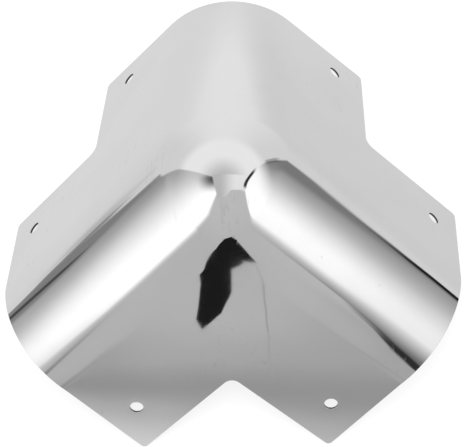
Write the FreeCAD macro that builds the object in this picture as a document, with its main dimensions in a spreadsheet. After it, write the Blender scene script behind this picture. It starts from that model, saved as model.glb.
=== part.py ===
import FreeCAD, Part
import Sketcher
import math
import os

from FreeCAD import Vector

# Three-leg corner protector: one pressed sheet that wraps the rounded corner of a box.
# The body is modelled square to the box, with its three outer faces on the planes of its own
# origin and its legs along +X, +Y and +Z. Its Placement then stands it on its six flange tips,
# apex up, with the world origin inside the ball's crown, where the box's rounded corner touches.

doc = FreeCAD.newDocument("corner_protector")

# Driving dimensions in millimetres
driving = [
    ("leg_length", 85.0, "outer face to the end of a ridge"),
    ("flange_width", 52.0, "outer face to the free edge of a flange"),
    ("tip_overhang", 1.7, "how far a flange tip reaches past the end of its ridge"),
    ("ridge_radius", 24.0, "outside radius of the three ridges and of the ball at the apex"),
    ("sheet_thickness", 0.6, "thickness of the sheet"),
    ("notch_radius", 2.5, "inside corner between the two flanges of a face"),
    ("tip_radius", 1.2, "outside corners of the flanges"),
    ("hole_diameter", 3.5, "clearance for a 3 mm wood screw"),
    ("hole_to_edge", 11.0, "free edge of the flange to a hole"),
    ("hole_to_end", 8.2, "end of the ridge to a hole, along the leg"),
]
sizes = doc.addObject("Spreadsheet::Sheet", "Sizes")
for row, (alias, value, note) in enumerate(driving, start=1):
    sizes.set(f"A{row}", alias)
    sizes.set(f"B{row}", str(value))
    sizes.set(f"C{row}", note)
    sizes.setAlias(f"B{row}", alias)
doc.recompute()

# Formulas that place the outlines and holes, measured from the outer faces. The blank reaches a
# ridge's radius past the tips, and the trim as far again, so that the trim leaves nothing over.
zero = "0"
width = "Sizes.flange_width"
ridge = "Sizes.ridge_radius"
leg = "Sizes.leg_length"
tip = "Sizes.leg_length + Sizes.tip_overhang"
blank = "Sizes.leg_length + Sizes.tip_overhang + Sizes.ridge_radius"
beyond = "Sizes.leg_length + Sizes.tip_overhang + 2 * Sizes.ridge_radius"
before = "-Sizes.ridge_radius"
hole_across = "Sizes.flange_width - Sizes.hole_to_edge"
hole_along = "Sizes.leg_length - Sizes.hole_to_end"

# Modelling tolerances in millimetres
touching = 1e-6
same_place = 1e-4

body = doc.addObject("PartDesign::Body", "CornerProtector")
body.Label = "corner_protector"


def face_sketch(name):
    """A sketch on the outer face that lies in the body's XY plane."""
    plane = next(item for item in body.Origin.OriginFeatures if item.Role == "XY_Plane")
    sketch = body.newObject("Sketcher::SketchObject", name)
    sketch.AttachmentSupport = [(plane, "")]
    sketch.MapMode = "FlatFace"
    return sketch


def value_of(sketch, formula):
    return float(sketch.evalExpression(formula))


def place_of(sketch, formulas):
    return Vector(*[value_of(sketch, formula) for formula in formulas])


def bind(sketch, constraint, name, formula):
    index = sketch.addConstraint(constraint)
    sketch.renameConstraint(index, name)
    sketch.setExpression(f"Constraints.{name}", formula)


def bind_point(sketch, geometry, point, name, formulas):
    """Dimensions a point from the sketch's origin, across and along, by two formulas."""
    place = place_of(sketch, formulas)
    across = Sketcher.Constraint("DistanceX", -1, 1, geometry, point, place.x)
    along = Sketcher.Constraint("DistanceY", -1, 1, geometry, point, place.y)
    bind(sketch, across, f"{name}_across", formulas[0])
    bind(sketch, along, f"{name}_along", formulas[1])


def draw_outline(sketch, corners):
    """A closed outline of straight lines through named corners."""
    places = [place_of(sketch, formulas) for formulas in corners.values()]
    for start, end in zip(places, places[1:] + places[:1]):
        sketch.addGeometry(Part.LineSegment(start, end))
    for line in range(len(places)):
        following = (line + 1) % len(places)
        sketch.addConstraint(Sketcher.Constraint("Coincident", line, 2, following, 1))
    for line, (name, formulas) in enumerate(corners.items()):
        bind_point(sketch, line, 1, name, formulas)


def draw_hole(sketch, name, formulas):
    diameter = value_of(sketch, "Sizes.hole_diameter")
    circle = sketch.addGeometry(Part.Circle(place_of(sketch, formulas), Vector(0, 0, 1), diameter / 2))
    size = Sketcher.Constraint("Diameter", circle, diameter)
    bind(sketch, size, f"{name}_diameter", "Sizes.hole_diameter")
    bind_point(sketch, circle, 3, name, formulas)


def pocket_from_outside(name, sketch):
    """Cuts one face's wall, as deep as the ridges, so that no other wall is reached."""
    pocket = body.newObject("PartDesign::Pocket", name)
    pocket.Profile = sketch
    pocket.Reversed = True
    pocket.setExpression("Length", ridge)
    doc.recompute()
    return pocket


def names_of(kind, elements, wanted):
    return [f"{kind}{number}" for number, element in enumerate(elements, start=1) if wanted(element)]


# Blank: the block whose three outer faces meet at the corner
blank_sketch = face_sketch("BlankSketch")
draw_outline(blank_sketch, {
    "corner": (zero, zero),
    "right": (blank, zero),
    "far": (blank, blank),
    "left": (zero, blank),
})
block = body.newObject("PartDesign::Pad", "Blank")
block.Profile = blank_sketch
block.setExpression("Length", blank)
doc.recompute()

# Ridges: the three edges at the corner are rounded together, which leaves a ball at the apex
corner_point = Part.Vertex(0, 0, 0)
corner_edges = names_of("Edge", block.Shape.Edges, lambda edge: edge.distToShape(corner_point)[0] < touching)
ridges = body.newObject("PartDesign::Fillet", "Ridges")
ridges.Base = (block, corner_edges)
ridges.setExpression("Radius", ridge)
doc.recompute()

# Sheet: hollowed inwards through the three faces that look away from the corner
far_faces = names_of("Face", ridges.Shape.Faces, lambda face: max(face.CenterOfMass) > sizes.leg_length)
sheet = body.newObject("PartDesign::Thickness", "Sheet")
sheet.Base = (ridges, far_faces)
sheet.Reversed = True
sheet.setExpression("Value", "Sizes.sheet_thickness")
doc.recompute()

# Trim of one face: square ridge ends, flange ends that run out to the tips, and the notch
trim_sketch = face_sketch("TrimSketch")
draw_outline(trim_sketch, {
    "left_ridge": (before, leg),
    "left_fold": (ridge, leg),
    "left_tip": (width, tip),
    "notch": (width, width),
    "right_tip": (tip, width),
    "right_fold": (leg, ridge),
    "right_ridge": (leg, before),
    "right_beyond": (beyond, before),
    "far_beyond": (beyond, beyond),
    "left_beyond": (before, beyond),
})
trim = pocket_from_outside("Trim", trim_sketch)

# Screw holes of one face
hole_sketch = face_sketch("HoleSketch")
draw_hole(hole_sketch, "left_hole", (hole_across, hole_along))
draw_hole(hole_sketch, "right_hole", (hole_along, hole_across))
holes = pocket_from_outside("Holes", hole_sketch)

# The other two faces are cut alike, turned by thirds about the line through corner and apex
threefold_axis = body.newObject("PartDesign::Line", "ThreefoldAxis")
threefold_axis.Placement = FreeCAD.Placement(Vector(), FreeCAD.Rotation(Vector(0, 0, 1), Vector(1, 1, 1)))
three_faces = body.newObject("PartDesign::PolarPattern", "ThreeFaces")
three_faces.Originals = [trim, holes]
three_faces.Axis = (threefold_axis, [""])
three_faces.Angle = 360
three_faces.Occurrences = 3
body.Tip = three_faces
doc.recompute()


def crosses_sheet_at(edge, near, far):
    """True for a short edge through the sheet whose two larger coordinates are near and far."""
    if len(edge.Vertexes) != 2 or abs(edge.Length - sizes.sheet_thickness) > same_place:
        return False
    middle = (edge.Vertexes[0].Point + edge.Vertexes[1].Point) / 2
    _, smaller, larger = sorted(middle)
    return abs(smaller - near) < same_place and abs(larger - far) < same_place


def round_corners(name, base, near, far, radius):
    fillet = body.newObject("PartDesign::Fillet", name)
    corners = names_of("Edge", base.Shape.Edges, lambda edge: crosses_sheet_at(edge, near, far))
    fillet.Base = (base, corners)
    fillet.setExpression("Radius", radius)
    body.Tip = fillet
    doc.recompute()
    return fillet


# Rounded corners of the outline
free_edge = sizes.flange_width
tip_reach = sizes.leg_length + sizes.tip_overhang
notches = round_corners("Notches", three_faces, free_edge, free_edge, "Sizes.notch_radius")
tips = round_corners("Tips", notches, free_edge, tip_reach, "Sizes.tip_radius")

# Standing on the tips: the diagonal of the box points up and the leg along +Z runs back to +Y
side = 1 / math.sqrt(2)
back = 2 / math.sqrt(6)
down = -1 / math.sqrt(3)
leg_x = Vector(side, -back / 2, down)
leg_y = Vector(-side, -back / 2, down)
leg_z = Vector(0, back, down)
body.Placement = FreeCAD.Placement(Vector(), FreeCAD.Rotation(leg_x, leg_y, leg_z, "XYZ"))
body.setExpression("Placement.Base.z", "(sqrt(3) - 1) * Sizes.ridge_radius + Sizes.sheet_thickness")
doc.recompute()

# Checks before anything is written
failed = [item.Name for item in doc.Objects if {"Invalid", "Error"} & set(item.State)]
if failed:
    raise RuntimeError(f"features that did not compute: {failed}")
shape = body.Shape
if shape.isNull() or not shape.isValid() or len(shape.Solids) != 1:
    raise RuntimeError("the protector is not one valid solid")
if len(notches.Base[1]) != 3 or len(tips.Base[1]) != 6:
    raise RuntimeError("a corner of the outline was left sharp")

os.makedirs("parts", exist_ok=True)
shape.exportStep(f"parts/{body.Label}.step")
print(body.Label, "volume", round(shape.Volume, 1), "mm3, area", round(shape.Area, 1), "mm2")
print("box", shape.BoundBox)
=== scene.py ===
import math

import bmesh
import bpy
from mathutils import Matrix, Quaternion, Vector


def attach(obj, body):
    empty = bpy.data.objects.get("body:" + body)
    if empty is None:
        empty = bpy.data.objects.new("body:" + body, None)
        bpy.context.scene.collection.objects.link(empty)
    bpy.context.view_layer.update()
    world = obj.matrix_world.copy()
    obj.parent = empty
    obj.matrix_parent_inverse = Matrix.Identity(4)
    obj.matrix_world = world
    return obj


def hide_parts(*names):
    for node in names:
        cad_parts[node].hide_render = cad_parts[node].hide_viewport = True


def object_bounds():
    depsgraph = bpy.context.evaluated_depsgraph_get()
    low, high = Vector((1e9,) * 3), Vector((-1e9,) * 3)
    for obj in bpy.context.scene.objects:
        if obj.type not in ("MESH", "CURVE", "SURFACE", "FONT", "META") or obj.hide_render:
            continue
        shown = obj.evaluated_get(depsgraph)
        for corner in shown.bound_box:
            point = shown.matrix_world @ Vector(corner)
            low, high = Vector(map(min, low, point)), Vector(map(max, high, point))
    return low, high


# Looks of a pressed corner protector: one mirror-plated sheet with three ridges and a ball.
# The sheet is shaped in the box's own axes, its corner at the origin and its legs along X, Y
# and Z, and then turned onto the frame. Sizes are in metres unless a note says otherwise.

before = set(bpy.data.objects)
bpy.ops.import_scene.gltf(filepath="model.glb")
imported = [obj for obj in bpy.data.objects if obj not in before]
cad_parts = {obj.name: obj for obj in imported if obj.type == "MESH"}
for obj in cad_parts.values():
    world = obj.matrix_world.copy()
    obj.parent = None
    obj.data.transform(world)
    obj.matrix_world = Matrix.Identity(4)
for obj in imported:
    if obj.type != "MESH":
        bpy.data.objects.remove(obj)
cadLow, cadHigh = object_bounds()
print("frame loaded:", sorted(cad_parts))

sheet = {
    "legLength": 0.085,  # outer face to the end of a ridge
    "flangeWidth": 0.052,  # outer face to the free edge of a flange
    "tipOverhang": 0.0017,  # flange tip past the end of its ridge
    "ridgeRadius": 0.024,
    "thickness": 0.0006,
    "notchRadius": 0.0025,
    "tipRadius": 0.0012,
    "holeDiameter": 0.0035,
    "holeToEdge": 0.011,  # free edge of the flange to a hole
    "holeToEnd": 0.0082,  # end of the ridge to a hole, along the leg
    "blankSize": 0.120,  # cube that the outline is cut from
    "ridgeSteps": 56,  # flats round a quarter turn, enough for a clean mirror
    "cornerSteps": 8,
    "holeSteps": 32,
    "holeFrame": 0.0036,  # half of the square cut round each hole
    "holeInset": 0.0009,  # from that square to the ring that becomes the hole
    "edgeRounding": 0.0001,  # of the cut edges
    "edgeSteps": 2,
    "edgeAngle": 60,  # degrees, above which an edge is rounded
    "flatWeight": 80,  # how much the large faces steer the reflections
    "weld": 1e-6,  # points nearer than this are one
    "samePlace": 1e-5,  # how near a corner is to where it is looked for
    "straight": 1e-3,  # radians, below which an edge or a vertex is dissolved
}
axes = (0, 1, 2)


def addObject(name, bm):
    mesh = bpy.data.meshes.new(name)
    bm.to_mesh(mesh)
    bm.free()
    added = bpy.data.objects.new(name, mesh)
    bpy.context.scene.collection.objects.link(added)
    return added


def otherAxes(axis):
    return [a for a in axes if a != axis]


def thirdAxis(first, second):
    return sum(axes) - first - second


def unitVector(axis):
    direction = Vector((0, 0, 0))
    direction[axis] = 1
    return direction


def edgesOf(faces):  # each edge once, always in the same order
    return list(dict.fromkeys(e for f in faces for e in f.edges))


def vertsOf(faces):
    return list(dict.fromkeys(v for f in faces for v in f.verts))


def cutAcross(bm, faces, point, normal):  # splits the faces along a plane and keeps both sides
    geometry = faces + edgesOf(faces) + vertsOf(faces)
    bmesh.ops.bisect_plane(bm, geom=geometry, dist=sheet["weld"], plane_co=point, plane_no=normal)


def removeFaces(bm, faces):
    bmesh.ops.delete(bm, geom=faces, context="FACES")


def flatFaces(bm, axis):  # the faces that lie on the plane square to an axis
    return [f for f in bm.faces if all(abs(v.co[axis]) < sheet["weld"] for v in f.verts)]


def ridgeFaces(bm, axis):  # the faces of the ridge that runs along an axis
    found = []
    for face in bm.faces:
        centre = face.calc_center_median()
        across = [centre[a] for a in otherAxes(axis)]
        if centre[axis] > sheet["ridgeRadius"] and max(across) < sheet["ridgeRadius"]:
            found.append(face)
    return found


def makeBlank(bm):  # three faces of a cube, their edges and corner rounded
    size = sheet["blankSize"]
    bmesh.ops.create_cube(bm, size=size)
    bmesh.ops.translate(bm, vec=(size / 2, size / 2, size / 2), verts=bm.verts)
    removeFaces(bm, [f for f in bm.faces if max(f.calc_center_median()) > sheet["legLength"]])
    corner = min(bm.verts, key=lambda v: v.co.length)
    bmesh.ops.bevel(
        bm,
        geom=list(corner.link_edges),
        offset=sheet["ridgeRadius"],
        offset_type="OFFSET",
        segments=sheet["ridgeSteps"],
        profile=0.5,
        affect="EDGES",
        clamp_overlap=False,
        material=-1,
    )


def trimRidge(bm, axis):  # square end of a ridge
    end = sheet["legLength"]
    cutAcross(bm, ridgeFaces(bm, axis), unitVector(axis) * end, unitVector(axis))
    removeFaces(bm, [f for f in ridgeFaces(bm, axis) if f.calc_center_median()[axis] > end])


def trimFlange(bm, flat, along):  # end of a flange, slanted from its fold out to its tip
    across = thirdAxis(flat, along)
    fold = unitVector(along) * sheet["legLength"] + unitVector(across) * sheet["ridgeRadius"]
    slant = unitVector(along) * sheet["tipOverhang"]
    slant += unitVector(across) * (sheet["flangeWidth"] - sheet["ridgeRadius"])
    outwards = slant.cross(unitVector(flat)).normalized()
    if outwards[along] < 0:
        outwards.negate()
    cutAcross(bm, flatFaces(bm, flat), fold, outwards)
    beyond = [f for f in flatFaces(bm, flat) if (f.calc_center_median() - fold).dot(outwards) > 0]
    removeFaces(bm, beyond)


def trimFreeEdges(bm, flat):  # leaves the two flanges of a face, with the notch between them
    width = sheet["flangeWidth"]
    pair = otherAxes(flat)
    for across in pair:
        cutAcross(bm, flatFaces(bm, flat), unitVector(across) * width, unitVector(across))
    spare = [f for f in flatFaces(bm, flat) if min(f.calc_center_median()[a] for a in pair) > width]
    removeFaces(bm, spare)
    flats = flatFaces(bm, flat)
    bmesh.ops.dissolve_limit(
        bm,
        angle_limit=sheet["straight"],
        verts=vertsOf(flats),
        edges=edgesOf(flats),
    )


def roundCorners(bm, near, far, radius):  # corners whose two larger coordinates are near and far
    corners = []
    for vert in bm.verts:
        smallest, smaller, larger = sorted(vert.co)
        if abs(smallest) + abs(smaller - near) + abs(larger - far) < sheet["samePlace"]:
            corners.append(vert)
    print("corners to round:", len(corners))
    bmesh.ops.bevel(
        bm,
        geom=corners,
        offset=radius,
        offset_type="OFFSET",
        segments=sheet["cornerSteps"],
        profile=0.5,
        affect="VERTICES",
        clamp_overlap=False,
        material=-1,
    )


def pierceHole(bm, flat, along):  # a square window is inset, and its inner ring drawn into a circle
    across = thirdAxis(flat, along)
    centre = unitVector(along) * (sheet["legLength"] - sheet["holeToEnd"])
    centre += unitVector(across) * (sheet["flangeWidth"] - sheet["holeToEdge"])
    for axis in (along, across):
        for side in (-1, 1):
            point = centre + unitVector(axis) * side * sheet["holeFrame"]
            cutAcross(bm, flatFaces(bm, flat), point, unitVector(axis))
    window = min(flatFaces(bm, flat), key=lambda f: (f.calc_center_median() - centre).length)
    cuts = sheet["holeSteps"] // len(window.edges) - 1
    bmesh.ops.subdivide_edges(bm, edges=list(window.edges), cuts=cuts)
    window = min(flatFaces(bm, flat), key=lambda f: (f.calc_center_median() - centre).length)
    bmesh.ops.inset_individual(bm, faces=[window], thickness=sheet["holeInset"])
    for vert in window.verts:
        vert.co = centre + (vert.co - centre).normalized() * sheet["holeDiameter"] / 2
    removeFaces(bm, [window])


def boxToFrame():  # the leg along Z runs back, and the diagonal of the box points up
    side = 1 / math.sqrt(2)
    back = 2 / math.sqrt(6)
    down = -1 / math.sqrt(3)
    legX = Vector((side, -back / 2, down))
    legY = Vector((-side, -back / 2, down))
    legZ = Vector((0, back, down))
    turn = Matrix((legX, legY, legZ)).transposed().to_4x4()
    cornerHeight = (math.sqrt(3) - 1) * sheet["ridgeRadius"] + sheet["thickness"]
    return Matrix.Translation((0, 0, cornerHeight)) @ turn


def shapeSkin(bm):  # the outer skin of the sheet, its faces pointing out of the box
    makeBlank(bm)
    for axis in axes:
        trimRidge(bm, axis)
    for flat in axes:
        for along in otherAxes(flat):
            trimFlange(bm, flat, along)
        trimFreeEdges(bm, flat)
    tipReach = sheet["legLength"] + sheet["tipOverhang"]
    roundCorners(bm, sheet["flangeWidth"], sheet["flangeWidth"], sheet["notchRadius"])
    roundCorners(bm, sheet["flangeWidth"], tipReach, sheet["tipRadius"])
    for flat in axes:
        for along in otherAxes(flat):
            pierceHole(bm, flat, along)
    bmesh.ops.remove_doubles(bm, verts=bm.verts, dist=sheet["weld"])
    bmesh.ops.recalc_face_normals(bm, faces=bm.faces)
    if flatFaces(bm, 2)[0].normal.z > 0:
        bmesh.ops.reverse_faces(bm, faces=bm.faces)


def addWall(piece):  # the sheet's thickness, with its own materials inside and on the cut edges
    wall = piece.modifiers.new("wall", "SOLIDIFY")
    wall.thickness = sheet["thickness"]
    wall.offset = -1
    wall.use_even_offset = True
    wall.material_offset = 1
    # the cut edges take the dark look, partly sheared steel and partly painted shade
    wall.material_offset_rim = 2


def roundCutEdges(piece):
    rounding = piece.modifiers.new("shearedEdges", "BEVEL")
    rounding.width = sheet["edgeRounding"]
    rounding.segments = sheet["edgeSteps"]
    rounding.limit_method = "ANGLE"
    rounding.angle_limit = math.radians(sheet["edgeAngle"])
    rounding.profile = 0.5
    rounding.material = -1


def flattenMirrors(piece):  # keeps the rounded edges from bending the reflections in the faces
    normals = piece.modifiers.new("flatMirrors", "WEIGHTED_NORMAL")
    normals.weight = sheet["flatWeight"]
    normals.keep_sharp = False


def makeSheet():
    bm = bmesh.new()
    shapeSkin(bm)
    bm.transform(boxToFrame())
    for face in bm.faces:
        face.smooth = True
    piece = addObject("mirror_sheet", bm)
    addWall(piece)
    roundCutEdges(piece)
    flattenMirrors(piece)
    return piece


def newMaterial(name):
    material = bpy.data.materials.new(name)
    material.use_nodes = True
    material.node_tree.nodes.clear()
    return material, material.node_tree


# Entries go by a socket's name or number: an output is linked, and any other value is set.
def addNode(tree, kind, entries=None, **settings):
    node = tree.nodes.new(kind)
    for name, value in settings.items():
        setattr(node, name, value)
    for name, value in (entries or {}).items():
        if isinstance(value, bpy.types.NodeSocket):
            tree.links.new(value, node.inputs[name])
        else:
            node.inputs[name].default_value = value
    return node


def calc(tree, operation, first, second=0.0, third=0.0):
    entries = {0: first, 1: second, 2: third}
    return addNode(tree, "ShaderNodeMath", entries, operation=operation).outputs["Value"]


def times(tree, *values):
    product = values[0]
    for value in values[1:]:
        product = calc(tree, "MULTIPLY", product, value)
    return product


def plus(tree, first, second):
    return calc(tree, "ADD", first, second)


def minus(tree, first, second):
    return calc(tree, "SUBTRACT", first, second)


def ramp(tree, value, start, end, low=0.0, high=1.0, kind="SMOOTHSTEP"):
    entries = {"Value": value, "From Min": start, "From Max": end, "To Min": low, "To Max": high}
    return addNode(tree, "ShaderNodeMapRange", entries, interpolation_type=kind).outputs["Result"]


def straightRamp(tree, value, start, end, low, high):
    return ramp(tree, value, start, end, low, high, "LINEAR")


def fall(tree, value, start, end):  # 1 up to a soft edge, 0 past it
    return ramp(tree, value, start, end, 1.0, 0.0)


def band(tree, value, rising, falling):  # 1 between two soft edges, 0 outside them
    return times(tree, ramp(tree, value, *rising), fall(tree, value, *falling))


# A Mix node has its own sockets for numbers, which are 2 and 3, and for colours, 6 and 7.
def blend(tree, under, over, share):
    entries = {0: share, 2: under, 3: over}
    return addNode(tree, "ShaderNodeMix", entries, data_type="FLOAT").outputs[0]


def blendColours(tree, under, over, share):
    entries = {0: share, 6: under, 7: over}
    return addNode(tree, "ShaderNodeMix", entries, data_type="RGBA").outputs[2]


# What the plating and the press leave on the sheet: cloudy haze, hairline scratches, a few pits
# and slow waves. Each material takes these masks in its own scale and strength.
plating = {
    "clouds": {"Detail": 5.0, "Roughness": 0.62, "Distortion": 0.4},
    "cloudEdge": (0.38, 0.68),
    "rubbing": {"Rotation": (0.5, 0.3, 0.7), "Scale": (1.0, 0.02, 0.6)},  # pulls dots into hairs
    "hairs": {"Detail": 2.0},
    "hairEdge": (0.60, 0.72),
    "patches": {"Detail": 2.0},  # where the hairlines gather
    "patchScale": 34.0,
    "patchEdge": (0.5, 0.68),
    "pits": {"Scale": 210.0, "Randomness": 1.0},
    "pitRim": (0.05, 0.09),
    "pitChoice": (0.93, 0.95),  # keeps few of them
    "swell": {"Detail": 1.5, "Roughness": 0.35},
}


def noise(tree, place, scale, look):
    entries = {"Vector": place, "Scale": scale, **look}
    return addNode(tree, "ShaderNodeTexNoise", entries).outputs["Fac"]


def buildPlatedFinish():
    group = bpy.data.node_groups.new("platedFinish", "ShaderNodeTree")
    sockets = group.interface
    sockets.new_socket("Position", in_out="INPUT", socket_type="NodeSocketVector")
    for name in ("Haze Scale", "Scratch Scale", "Wave Scale"):
        sockets.new_socket(name, in_out="INPUT", socket_type="NodeSocketFloat")
    for name in ("Haze", "Scratches", "Pits", "Waves"):
        sockets.new_socket(name, in_out="OUTPUT", socket_type="NodeSocketFloat")
    given = addNode(group, "NodeGroupInput").outputs
    place = given["Position"]
    clouds = noise(group, place, given["Haze Scale"], plating["clouds"])
    haze = ramp(group, clouds, *plating["cloudEdge"])
    rubbed = addNode(group, "ShaderNodeMapping", {"Vector": place, **plating["rubbing"]}).outputs
    hairs = noise(group, rubbed["Vector"], given["Scratch Scale"], plating["hairs"])
    patches = noise(group, place, plating["patchScale"], plating["patches"])
    patches = ramp(group, patches, *plating["patchEdge"])
    scratches = times(group, ramp(group, hairs, *plating["hairEdge"]), patches)
    dots = addNode(group, "ShaderNodeTexVoronoi", {"Vector": place, **plating["pits"]}).outputs
    chosen = addNode(group, "ShaderNodeSeparateColor", {"Color": dots["Color"]}).outputs["Red"]
    pits = fall(group, dots["Distance"], *plating["pitRim"])
    pits = times(group, pits, ramp(group, chosen, *plating["pitChoice"]))
    waves = noise(group, place, given["Wave Scale"], plating["swell"])
    masks = {"Haze": haze, "Scratches": scratches, "Pits": pits, "Waves": waves}
    addNode(group, "NodeGroupOutput", masks)
    return group


mirrorLook = {
    "clear": (0.84, 0.84, 0.84),
    "hazy": (0.81, 0.81, 0.812),
    "mark": (0.62, 0.62, 0.62),
    "markDepth": 0.35,
    "roughness": (0.02, 0.05),  # where clear and where hazy
    "markRoughness": 0.12,
    "waveHeight": 0.00012,
    "markHeight": 0.000001,
    "scales": {"Haze Scale": 30.0, "Scratch Scale": 900.0, "Wave Scale": 38.0},
}
insideLook = {
    "clear": (0.72, 0.72, 0.73),
    "hazy": (0.6, 0.6, 0.6),
    "mark": (0.45, 0.44, 0.43),
    "markDepth": 0.6,
    "roughness": (0.24, 0.42),
    "markRoughness": 0.2,
    "waveHeight": 0.0001,
    "markHeight": 0.000004,
    "scales": {"Haze Scale": 60.0, "Scratch Scale": 700.0, "Wave Scale": 38.0},
}
# The cut edges are dark partly as sheared steel and partly with painted shade: their dark colour
# also stands in for shade and dark reflections on them.
shearedAndShadedLook = {
    "clear": (0.16, 0.16, 0.163),
    "hazy": (0.10, 0.10, 0.10),
    "mark": (0.06, 0.058, 0.056),
    "markDepth": 0.6,
    "roughness": (0.25, 0.45),
    "markRoughness": 0.15,
    "waveHeight": 0.00002,
    "markHeight": 0.000006,
    "scales": {"Haze Scale": 400.0, "Scratch Scale": 1200.0, "Wave Scale": 900.0},
}
metalLooks = {"mirrorChrome": mirrorLook, "insideChrome": insideLook, "shearedAndShadedEdge": shearedAndShadedLook}


def buildMetal(name, look):
    material, tree = newMaterial(name)
    place = addNode(tree, "ShaderNodeTexCoord").outputs["Object"]
    entries = {"Position": place, **look["scales"]}
    finish = addNode(tree, "ShaderNodeGroup", entries, node_tree=platedFinish).outputs
    marks = calc(tree, "MAXIMUM", finish["Scratches"], finish["Pits"])
    colour = blendColours(tree, (*look["clear"], 1), (*look["hazy"], 1), finish["Haze"])
    worn = times(tree, marks, look["markDepth"])
    colour = blendColours(tree, colour, (*look["mark"], 1), worn)
    rough = ramp(tree, finish["Haze"], 0.0, 1.0, *look["roughness"])
    rough = plus(tree, rough, times(tree, marks, look["markRoughness"]))
    slow = {"Height": finish["Waves"], "Distance": look["waveHeight"], "Strength": 1.0}
    wavy = addNode(tree, "ShaderNodeBump", slow).outputs["Normal"]
    fine = {"Height": marks, "Distance": look["markHeight"], "Strength": 1.0, "Normal": wavy}
    dented = addNode(tree, "ShaderNodeBump", fine, invert=True).outputs["Normal"]
    surface = {"Metallic": 1.0, "Base Color": colour, "Roughness": rough, "Normal": dented}
    shader = addNode(tree, "ShaderNodeBsdfPrincipled", surface)
    addNode(tree, "ShaderNodeOutputMaterial", {"Surface": shader.outputs["BSDF"]})
    return material


platedFinish = buildPlatedFinish()
sheetPiece = makeSheet()
for materialName, look in metalLooks.items():
    sheetPiece.data.materials.append(buildMetal(materialName, look))
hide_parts("corner_protector")
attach(sheetPiece, "root")
print("sheet modelled:", len(sheetPiece.data.polygons), "faces")

# The studio is a white tent with two soft lights beside the camera. Its walls are painted into
# the world by azimuth, 0 in front and 90 to the right, and by elevation, both in degrees. Near
# the zenith they go by slopes: how far sideways or backwards a line leads for each metre up.
# Two numbers are the start and the end of a soft edge, two such edges are the sides of a band,
# and four numbers are a ramp: its start, its end and the values there. A tone of 1 is white.
tent = {
    "white": 1.0,  # what the camera sees of the walls and the floor
    "light": 1.26,  # the two soft lights at their brightest
    "dark": 0.03,  # rims and seams
    "flattest": 0.05,  # the least rise that a slope is worked out with
}
walls = {
    "tone": (130, 178, 0.745, 0.885),  # from beside the object to behind it
    "upper": (30, 44),
    "upperTone": 0.94,
    "roof": (56, 84),
    "roofTone": 0.58,
    "leftShade": ((-118, -111.5), (-111.5, -105)),  # a shaded strip at the foot of the wall
    "leftShadeDepth": -0.27,
    "leftShadeTop": (-1, 1.5),
}
leftLight = {
    "outerEdge": (14, 34, -107, -113),  # azimuth of the edge, by elevation
    "outerSoftness": (-1.5, 1.5),
    "innerEdge": (25, 46, -33.3, -25.2),
    "innerSoftness": (10, 18, -28, -5),  # where the soft part starts, by elevation
    "innerEnd": 3,
    "side": (0, 24, 0.22, 0.42),
    "highSide": (28, 56),
    "highSideTone": 0.64,
    "fade": (-112, -50),  # from its side to full light
    "foot": (10, 21),
    "footTone": (-112, -80, 0.3, 0.55),
    "dim": (-0.62, -0.20, 1.0, 0.13),  # a dim patch near the zenith
    "dimBand": ((-0.30, 0.03), (0.07, 0.20)),
    "dimRise": (58, 62),
}
frontSheet = {  # grey, from the left light to behind the right one
    "tone": (-5, 60, 0.525, 0.59),
    "rightEnd": (60, 70),
    "rightCorner": (0, 12, 1.0, 0.78),  # by azimuth less elevation
    "rightCornerTop": (15, 21),
    "leftCorner": (12, 22),  # by azimuth and elevation together, counted to the left
    "leftCornerDepth": (-4, 8, 0.42, 0.08),
    "leftSeam": ((-34.5, -33), (-31.5, -30)),
    "leftSeamStrength": (9, 16, 0.8, 0.0),
    "leftSeamTone": 0.12,
}
crown = {  # bright ceiling between the two lights, over the top of the front sheet
    "tone": (-0.1, 0.3, 0.56, 0.92),
    "left": -0.2,  # its left border, as a slope beside the zenith
    "leftLean": -0.2,
    "leftSoftness": (-0.015, 0.015),
    "front": (0.03, 0.19, -0.36, -0.20),
    "frontSoftness": (-0.01, 0.02),
    "back": (0.12, 0.15),
    "right": (0.5, 0.6),
    "rise": (58, 60),
}
rightLight = {  # round at its top, with a dark rim
    "middle": (80, 30),  # azimuth and elevation
    "half": (40.5, 32.9),  # half of its width, and its height above the middle
    "softness": 0.03,  # of its border, as a share of its size
    "cornerSoftness": 0.12,  # added to that at its lower left
    "cornerTop": (26, 40),
    "cornerRight": (60, 80),
    "bottom": (-1, 4),
    "side": (28, 52, 0.26, 1.11),
    "fade": (60, 122),  # from full light to its side
    "foot": (8, 37),
    "footTone": (84, 106, 0.66, 0.38),
    "footEnd": (105, 113, 1.0, 0.58),
    "rim": ((0.945, 0.975), (1.05, 1.09)),
    "rimLeft": (68, 80),
    "rimTop": (46, 55),
    "rimLow": ((10, 20), (30, 36)),
    "rimLowStrength": 0.5,
}
rightSeam = {  # between the front sheet and the right light, with a shade beside it
    "edge": (10, 21, 21, 31.5),  # azimuth of the seam, by elevation
    "shade": (29, 49, 0.19, 1.0),
    "shadeLeft": (-0.7, 0.7),
    "shadeRight": (44, 52),
    "shadeTop": (22, 27),
    "shadeFoot": (6, 10),
    "line": ((-1.6, -0.7), (0.7, 2.0)),
    "lineTop": (14, 22),
    "lineFoot": (4, 9),
}
darkCards = (  # a band of azimuth, a band of elevation, tone
    (((-113, -110.5), (-107, -105)), ((-3, 0.5), (1, 3.5)), 0.28),
    (((-110, -107.5), (-98, -93)), ((-2, 2), (7, 11)), 0.24),
    (((-102.5, -101.3), (-100, -98.6)), ((1, 3), (6.5, 9)), 0.07),
    (((96, 106), (112, 117)), ((-0.4, 0.5), (2.0, 4.6)), 0.01),
)


def wallTone(tree, azimuth):
    return ramp(tree, calc(tree, "ABSOLUTE", azimuth), *walls["tone"])


def leftWallShade(tree, azimuth):  # what it leaves of the wall's tone
    shaded = band(tree, azimuth, *walls["leftShade"])
    return calc(tree, "MULTIPLY_ADD", shaded, walls["leftShadeDepth"], 1.0)


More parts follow.
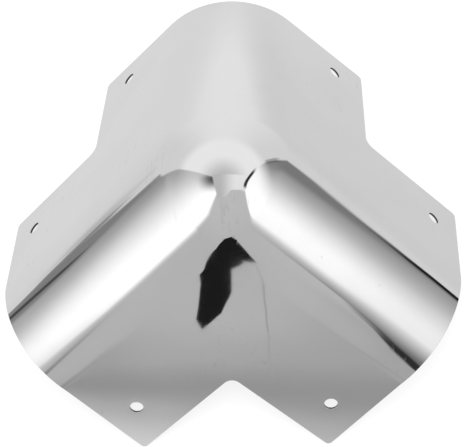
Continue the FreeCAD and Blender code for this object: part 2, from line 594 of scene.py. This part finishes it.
def cornerShade(tree, azimuth, elevation):  # the front sheet darkens towards its lower corners
    right = ramp(tree, minus(tree, azimuth, elevation), *frontSheet["rightCorner"])
    right = blend(tree, right, 1.0, ramp(tree, elevation, *frontSheet["rightCornerTop"]))
    left = times(tree, plus(tree, azimuth, elevation), -1.0)
    depth = ramp(tree, elevation, *frontSheet["leftCornerDepth"])
    left = times(tree, ramp(tree, left, *frontSheet["leftCorner"]), depth)
    return times(tree, right, minus(tree, 1.0, left))


def paintWalls(tree, way):
    azimuth, elevation = way["azimuth"], way["elevation"]
    shade = leftWallShade(tree, azimuth)
    shade = blend(tree, shade, 1.0, ramp(tree, elevation, *walls["leftShadeTop"]))
    tone = times(tree, wallTone(tree, azimuth), shade)
    tone = blend(tree, tone, walls["upperTone"], ramp(tree, elevation, *walls["upper"]))
    return blend(tree, tone, walls["roofTone"], ramp(tree, elevation, *walls["roof"]))


def leftLightTone(tree, way):
    azimuth, elevation = way["azimuth"], way["elevation"]
    side = ramp(tree, elevation, *leftLight["side"])
    highSide = ramp(tree, elevation, *leftLight["highSide"])
    side = blend(tree, side, leftLight["highSideTone"], highSide)
    tone = blend(tree, side, tent["light"], ramp(tree, azimuth, *leftLight["fade"]))
    foot = ramp(tree, azimuth, *leftLight["footTone"])
    tone = blend(tree, foot, tone, ramp(tree, elevation, *leftLight["foot"]))
    high = ramp(tree, elevation, *leftLight["dimRise"])
    high = times(tree, high, band(tree, way["backwards"], *leftLight["dimBand"]))
    dim = ramp(tree, way["sideways"], *leftLight["dim"])
    return times(tree, tone, blend(tree, 1.0, dim, high))


def paintLeftLight(tree, tone, way):  # the light ends where the front sheet starts
    azimuth, elevation = way["azimuth"], way["elevation"]
    outerEdge = straightRamp(tree, elevation, *leftLight["outerEdge"])
    innerEdge = straightRamp(tree, elevation, *leftLight["innerEdge"])
    outside = ramp(tree, minus(tree, azimuth, outerEdge), *leftLight["outerSoftness"])
    soft = ramp(tree, elevation, *leftLight["innerSoftness"])
    inside = ramp(tree, minus(tree, azimuth, innerEdge), soft, leftLight["innerEnd"])
    share = times(tree, outside, minus(tree, 1.0, inside))
    return blend(tree, tone, leftLightTone(tree, way), share), inside


def paintFrontSheet(tree, tone, way, inside):
    azimuth, elevation = way["azimuth"], way["elevation"]
    sheetTone = ramp(tree, elevation, *frontSheet["tone"])
    sheetTone = times(tree, sheetTone, cornerShade(tree, azimuth, elevation))
    share = times(tree, inside, fall(tree, azimuth, *frontSheet["rightEnd"]))
    tone = blend(tree, tone, sheetTone, share)
    strength = ramp(tree, elevation, *frontSheet["leftSeamStrength"])
    share = times(tree, band(tree, azimuth, *frontSheet["leftSeam"]), strength)
    return blend(tree, tone, frontSheet["leftSeamTone"], share)


def paintCrown(tree, tone, way):
    sideways, backwards = way["sideways"], way["backwards"]
    border = calc(tree, "MULTIPLY_ADD", backwards, crown["leftLean"], crown["left"])
    front = ramp(tree, sideways, *crown["front"])
    share = times(
        tree,
        ramp(tree, minus(tree, sideways, border), *crown["leftSoftness"]),
        ramp(tree, minus(tree, backwards, front), *crown["frontSoftness"]),
        fall(tree, backwards, *crown["back"]),
        ramp(tree, way["elevation"], *crown["rise"]),
        fall(tree, sideways, *crown["right"]),
    )
    return blend(tree, tone, ramp(tree, sideways, *crown["tone"]), share)


def rightLightTone(tree, way):
    azimuth, elevation = way["azimuth"], way["elevation"]
    side = ramp(tree, elevation, *rightLight["side"])
    tone = blend(tree, tent["light"], side, ramp(tree, azimuth, *rightLight["fade"]))
    foot = straightRamp(tree, azimuth, *rightLight["footTone"])
    foot = times(tree, foot, ramp(tree, azimuth, *rightLight["footEnd"]))
    return blend(tree, foot, tone, ramp(tree, elevation, *rightLight["foot"]))


def paintRightLight(tree, tone, way):
    azimuth, elevation = way["azimuth"], way["elevation"]
    middleAzimuth, middleElevation = rightLight["middle"]
    halfWidth, halfHeight = rightLight["half"]
    across = calc(tree, "DIVIDE", minus(tree, azimuth, middleAzimuth), halfWidth)
    above = calc(tree, "MAXIMUM", minus(tree, elevation, middleElevation), 0.0)
    above = calc(tree, "DIVIDE", above, halfHeight)
    squares = plus(tree, times(tree, across, across), times(tree, above, above))
    reach = calc(tree, "SQRT", squares)
    soft = fall(tree, elevation, *rightLight["cornerTop"])
    soft = times(tree, soft, fall(tree, azimuth, *rightLight["cornerRight"]))
    soft = calc(tree, "MULTIPLY_ADD", soft, rightLight["cornerSoftness"], rightLight["softness"])
    share = fall(tree, reach, minus(tree, 1.0, soft), plus(tree, 1.0, soft))
    share = times(tree, share, ramp(tree, elevation, *rightLight["bottom"]))
    tone = blend(tree, tone, rightLightTone(tree, way), share)
    low = times(tree, band(tree, elevation, *rightLight["rimLow"]), rightLight["rimLowStrength"])
    rim = times(
        tree,
        band(tree, reach, *rightLight["rim"]),
        ramp(tree, azimuth, *rightLight["rimLeft"]),
        plus(tree, low, ramp(tree, elevation, *rightLight["rimTop"])),
    )
    return blend(tree, tone, tent["dark"], rim)


def paintRightSeam(tree, tone, way):
    azimuth, elevation = way["azimuth"], way["elevation"]
    beside = minus(tree, azimuth, straightRamp(tree, elevation, *rightSeam["edge"]))
    shaded = times(
        tree,
        ramp(tree, beside, *rightSeam["shadeLeft"]),
        fall(tree, azimuth, *rightSeam["shadeRight"]),
        fall(tree, elevation, *rightSeam["shadeTop"]),
        ramp(tree, elevation, *rightSeam["shadeFoot"]),
    )
    tone = blend(tree, tone, straightRamp(tree, azimuth, *rightSeam["shade"]), shaded)
    line = times(
        tree,
        band(tree, beside, *rightSeam["line"]),
        fall(tree, elevation, *rightSeam["lineTop"]),
        ramp(tree, elevation, *rightSeam["lineFoot"]),
    )
    return blend(tree, tone, tent["dark"], line)


def tentTone(tree, way):
    tone = paintWalls(tree, way)
    tone, inside = paintLeftLight(tree, tone, way)
    tone = paintFrontSheet(tree, tone, way, inside)
    tone = paintCrown(tree, tone, way)
    tone = paintRightLight(tree, tone, way)
    tone = paintRightSeam(tree, tone, way)
    for sides, heights, shade in darkCards:
        share = band(tree, way["azimuth"], *sides)
        share = times(tree, share, band(tree, way["elevation"], *heights))
        tone = blend(tree, tone, shade, share)
    return tone


def readPlace(tree, coordinates):
    place = addNode(tree, "ShaderNodeTexCoord").outputs[coordinates]
    return addNode(tree, "ShaderNodeSeparateXYZ", {"Vector": place}).outputs


def azimuthOf(tree, x, forward):
    return calc(tree, "DEGREES", calc(tree, "ARCTAN2", x, forward))


def buildWorld():
    world = bpy.data.worlds.new("tentStudio")
    bpy.context.scene.world = world
    world.use_nodes = True
    tree = world.node_tree
    tree.nodes.clear()
    x, y, z = readPlace(tree, "Generated")
    steepness = calc(tree, "MAXIMUM", z, tent["flattest"])
    way = {
        "azimuth": azimuthOf(tree, x, times(tree, y, -1.0)),
        "elevation": calc(tree, "DEGREES", calc(tree, "ARCSINE", z)),
        "sideways": calc(tree, "DIVIDE", x, steepness),
        "backwards": calc(tree, "DIVIDE", y, steepness),
    }
    rays = addNode(tree, "ShaderNodeLightPath").outputs
    tone = blend(tree, tentTone(tree, way), tent["white"], rays["Is Camera Ray"])
    light = addNode(tree, "ShaderNodeBackground", {"Color": (1, 1, 1, 1), "Strength": tone})
    addNode(tree, "ShaderNodeOutputWorld", {"Surface": light.outputs["Background"]})


# The camera sees a white floor with a faint shadow. Mirrors see the painted tones below: a pale
# floor behind the object, painted shade in front of it and a darker strip of painted shade across
# that.
floorLook = {
    "size": 4.0,
    "shadow": (0.15, 0.6, 0.2, 0.0),  # share that the object can shade, by distance from it
    "near": (0.0, 0.09, 0.775, 0.70),  # from the object's middle to its right
    "far": (0.12, 0.45),  # where the floor takes on the walls' tone
    "leftShade": (0.25, 0.7),
    "nearLean": 0.8,  # how much nearer an edge is for each metre to the right
    "farLean": 0.2,
    "front": (-0.02, 0.05),
    "frontEdge": (0.02, 0.10),
    # painted shade that only mirrors see: darker in front, deeper in the dip and the strip
    "frontShadeTone": 0.52,
    "dip": (0.10, 0.17),
    "dipShadeDepth": (0.20, 0.50, 0.08, 0.0),
    "corners": (0.08, 0.6),  # where the front sheet's corner shade comes in
    "sunk": -1.6,  # elevation in degrees that the shade is read at, one metre away
    "deepest": -3.5,
    "closest": 0.01,
    "strip": (0.075, 0.18),
    "stripEnd": (0.17, 0.27),
    "stripShadeTone": (-0.08, -0.02, 0.31, 0.35),
}


def floorTone(tree, x, y, away):
    forward = times(tree, y, -1.0)
    azimuth = azimuthOf(tree, x, forward)
    tone = ramp(tree, x, *floorLook["near"])
    shade = leftWallShade(tree, azimuth)
    shade = blend(tree, 1.0, shade, ramp(tree, away, *floorLook["leftShade"]))
    wall = times(tree, wallTone(tree, azimuth), shade)
    tone = blend(tree, tone, wall, ramp(tree, away, *floorLook["far"]))
    # painted shade in front of the object, deeper in a dip and in a strip across it
    nearEdge = calc(tree, "MULTIPLY_ADD", x, floorLook["nearLean"], forward)
    farEdge = calc(tree, "MULTIPLY_ADD", x, floorLook["farLean"], forward)
    dip = ramp(tree, farEdge, *floorLook["dipShadeDepth"])
    dip = times(tree, ramp(tree, nearEdge, *floorLook["dip"]), dip)
    front = minus(tree, floorLook["frontShadeTone"], dip)
    sunk = calc(tree, "MAXIMUM", away, floorLook["closest"])
    sunk = calc(tree, "DIVIDE", floorLook["sunk"], sunk)
    corner = cornerShade(tree, azimuth, calc(tree, "MAXIMUM", sunk, floorLook["deepest"]))
    corner = blend(tree, 1.0, corner, ramp(tree, away, *floorLook["corners"]))
    inFront = ramp(tree, forward, *floorLook["front"])
    share = times(tree, inFront, ramp(tree, nearEdge, *floorLook["frontEdge"]))
    tone = blend(tree, tone, times(tree, front, corner), share)
    # a strip of painted shade across the front
    strip = ramp(tree, nearEdge, *floorLook["strip"])
    strip = times(tree, strip, fall(tree, farEdge, *floorLook["stripEnd"]), inFront)
    return blend(tree, tone, ramp(tree, x, *floorLook["stripShadeTone"]), strip)


def mixShaders(tree, under, over, share):
    return addNode(tree, "ShaderNodeMixShader", {0: share, 1: under, 2: over}).outputs["Shader"]


def buildFloorMaterial():
    material, tree = newMaterial("paleFloor")
    place = readPlace(tree, "Object")
    x, y = place["X"], place["Y"]
    away = calc(tree, "SQRT", plus(tree, times(tree, x, x), times(tree, y, y)))
    mirrored = addNode(tree, "ShaderNodeLightPath").outputs["Is Glossy Ray"]
    tone = blend(tree, tent["white"], floorTone(tree, x, y, away), mirrored)
    channels = {"Red": tone, "Green": tone, "Blue": tone}
    colour = addNode(tree, "ShaderNodeCombineColor", channels).outputs["Color"]
    glow = addNode(tree, "ShaderNodeEmission", {"Color": colour}).outputs["Emission"]
    matt = addNode(tree, "ShaderNodeBsdfDiffuse", {"Color": colour}).outputs["BSDF"]
    shade = blend(tree, ramp(tree, away, *floorLook["shadow"]), 0.0, mirrored)
    surface = mixShaders(tree, glow, matt, shade)
    # open to a camera under the floor
    underside = addNode(tree, "ShaderNodeNewGeometry").outputs["Backfacing"]
    hole = addNode(tree, "ShaderNodeBsdfTransparent").outputs["BSDF"]
    surface = mixShaders(tree, surface, hole, underside)
    addNode(tree, "ShaderNodeOutputMaterial", {"Surface": surface})
    return material


def buildFloor():
    bm = bmesh.new()
    half = floorLook["size"] / 2
    level = Matrix.Translation((0, 0, cadLow.z))
    bmesh.ops.create_grid(bm, x_segments=1, y_segments=1, size=half, matrix=level)
    floor = addObject("floor", bm)
    floor.data.materials.append(buildFloorMaterial())


# An opening in the front of the tent, and a seam that runs from it down to the floor and on
# towards the object. Only mirrors see them. All but the tones is in millimetres.
millimetre = 0.001
opening = {
    "distance": 420,  # in front of the object
    "tone": 0.012,
    "flap": (  # sideways and up, as are the seam's corners
        (-38, -60), (-41, -54), (-38, -35), (-39, -28), (-61, 3), (-76, 26), (-51, 76), (-6, 136),
        (54, 152), (96, 108), (86, 88), (67, 55), (23, 16), (-15, -27), (-21, -29), (-21, -39),
        (-27, -52),
    ),
    "seam": ((-2, -62), (-3, -36), (25, 3), (51, 38)),
    "seamWidth": 0.9,
    "seamTone": 0.36,
    "floorSeam": ((-2, 420), (2, 285), (5.5, 205)),  # sideways, and distance in front
    "floorSeamTone": 0.41,
    "liftOffFloor": 0.2,
}


def addCard(name, bm, tone):
    bmesh.ops.scale(bm, vec=(millimetre, millimetre, millimetre), verts=bm.verts)
    card = addObject(name, bm)
    material, tree = newMaterial(name)
    glow = addNode(tree, "ShaderNodeEmission", {"Strength": tone}).outputs["Emission"]
    addNode(tree, "ShaderNodeOutputMaterial", {"Surface": glow})
    card.data.materials.append(material)
    card.visible_camera = False
    card.visible_diffuse = False
    card.visible_shadow = False


def addSeam(name, corners, tone):  # a narrow strip through the corners
    bm = bmesh.new()
    line = [bm.verts.new(corner) for corner in corners]
    edges = [bm.edges.new(pair) for pair in zip(line, line[1:])]
    strip = bmesh.ops.extrude_edge_only(bm, edges=edges)
    moved = [item for item in strip["geom"] if isinstance(item, bmesh.types.BMVert)]
    bmesh.ops.translate(bm, vec=(opening["seamWidth"], 0, 0), verts=moved)
    addCard(name, bm, tone)


def buildOpening():
    front = -opening["distance"]
    level = cadLow.z / millimetre + opening["liftOffFloor"]
    bm = bmesh.new()
    bm.faces.new([bm.verts.new((x, front, z)) for x, z in opening["flap"]])
    addCard("tentOpening", bm, opening["tone"])
    addSeam("tentSeam", [(x, front, z) for x, z in opening["seam"]], opening["seamTone"])
    onFloor = [(x, -away, level) for x, away in opening["floorSeam"]]
    addSeam("floorSeam", onFloor, opening["floorSeamTone"])


overheadLamp = {
    "size": 0.6,
    "watts": 8,
    "height": 0.9,
}


def buildLamp():
    data = bpy.data.lights.new("overheadLamp", "AREA")
    data.shape = "DISK"
    data.size = overheadLamp["size"]
    data.energy = overheadLamp["watts"]
    lamp = bpy.data.objects.new("overheadLamp", data)
    lamp.location = (0, 0, overheadLamp["height"])
    lamp.visible_glossy = False
    bpy.context.scene.collection.objects.link(lamp)


cameraView = {
    "azimuth": 9.70,  # degrees, 0 looks along +Y
    "elevation": 70.83,
    "roll": -10.60,
    "distance": 0.3688,
    "aim": (0.0009, -0.0039, -0.0327),
    "lens": 110.6,  # millimetres, as is the sensor
    "sensor": 36.0,
    "clipStart": 0.01,
}


def buildCamera():
    data = bpy.data.cameras.new("camera")
    data.sensor_width = cameraView["sensor"]
    data.lens = cameraView["lens"]
    data.clip_start = cameraView["clipStart"]
    camera = bpy.data.objects.new("camera", data)
    azimuth = math.radians(cameraView["azimuth"])
    elevation = math.radians(cameraView["elevation"])
    level = math.cos(elevation)
    back = Vector((math.sin(azimuth) * level, -math.cos(azimuth) * level, math.sin(elevation)))
    roll = Quaternion((0, 0, 1), math.radians(cameraView["roll"]))
    camera.location = Vector(cameraView["aim"]) + back * cameraView["distance"]
    camera.rotation_mode = "QUATERNION"
    camera.rotation_quaternion = (-back).to_track_quat("-Z", "Y") @ roll
    bpy.context.scene.collection.objects.link(camera)
    bpy.context.scene.camera = camera


buildWorld()
buildFloor()
buildOpening()
buildLamp()
buildCamera()
bpy.context.scene.view_settings.view_transform = "Standard"
print("studio built")
